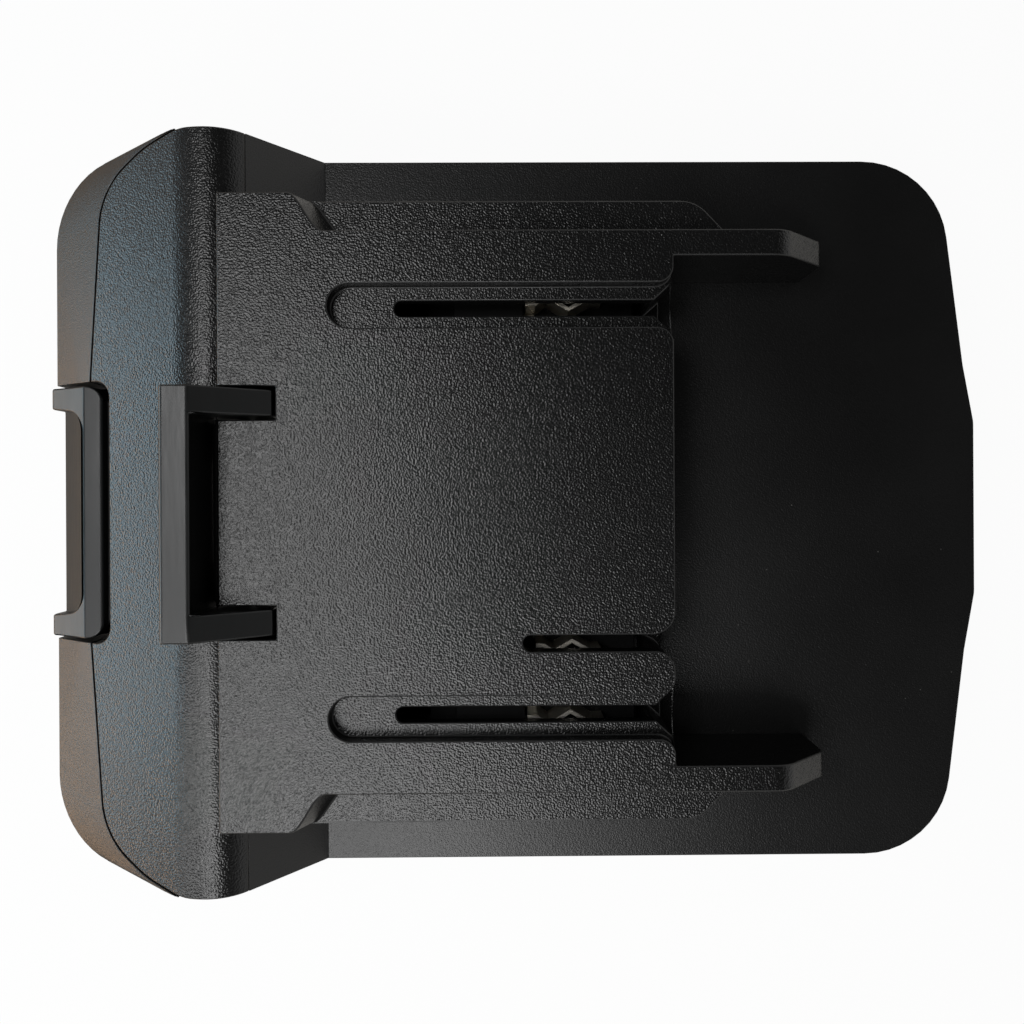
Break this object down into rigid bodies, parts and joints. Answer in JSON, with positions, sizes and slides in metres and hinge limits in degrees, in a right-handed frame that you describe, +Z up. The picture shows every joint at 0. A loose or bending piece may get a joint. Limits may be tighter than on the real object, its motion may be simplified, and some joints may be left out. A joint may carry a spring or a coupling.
{
  "type": "tool battery adapter",
  "caption": "Slide-on battery adapter for a cordless tool: rail platform with terminal slots and a sprung latch above, bay with blades for another battery below.",
  "frame": {"origin": "middle of the object on the plane it stands on, at the bottom of the lower shell", "axes": "+Z up to the rail platform, +X to the end that enters the tool first, -X to the release button"},
  "size_m": [0.1009, 0.0762, 0.0419],
  "materials": {
    "grained_black_plastic": "black ABS, coarse moulded grain",
    "satin_black_plastic": "black ABS, fine moulded grain",
    "smooth_black_plastic": "black acetal, smooth",
    "carrier_plastic": "glass-filled nylon, dark grey",
    "tinned_copper": "tinned copper alloy strip",
    "zinc_steel": "zinc-plated steel",
    "spring_steel": "drawn spring steel wire",
    "red_insulation": "red silicone insulation",
    "black_insulation": "black silicone insulation",
    "yellow_insulation": "yellow silicone insulation",
    "white_insulation": "white silicone insulation",
    "board_laminate": "green solder mask on glass laminate",
    "chip_epoxy": "black moulded epoxy"
  },
  "bodies": {
    "case": {"lower_shell": "satin_black_plastic", "upper_shell": "satin_black_plastic", "top_cover": "grained_black_plastic", "case_screws": "zinc_steel", "cover_screws": "zinc_steel", "block_screws": "zinc_steel", "latch_spring_left": "spring_steel", "latch_spring_right": "spring_steel", "positive_contact": "tinned_copper", "negative_contact": "tinned_copper", "signal_contact": "tinned_copper", "contact_carrier": "carrier_plastic", "positive_blade": "tinned_copper", "negative_blade": "tinned_copper", "signal_blade": "tinned_copper", "blade_block": "carrier_plastic", "positive_lead": "red_insulation", "negative_lead": "black_insulation", "contact_signal_lead": "yellow_insulation", "battery_signal_lead": "white_insulation", "signal_board": "board_laminate", "board_parts": "chip_epoxy"},
    "latch": {"release_latch": "smooth_black_plastic"}
  },
  "joints": [
    {"name": "latch_slide", "type": "slide", "parent": "case", "child": "latch", "axis": [0, 0, -1], "range_m": [0, 0.005], "stiffness_N_per_m": 1200, "springref_m": -0.004, "deforming": ["latch_spring_left", "latch_spring_right"]}
  ]
}
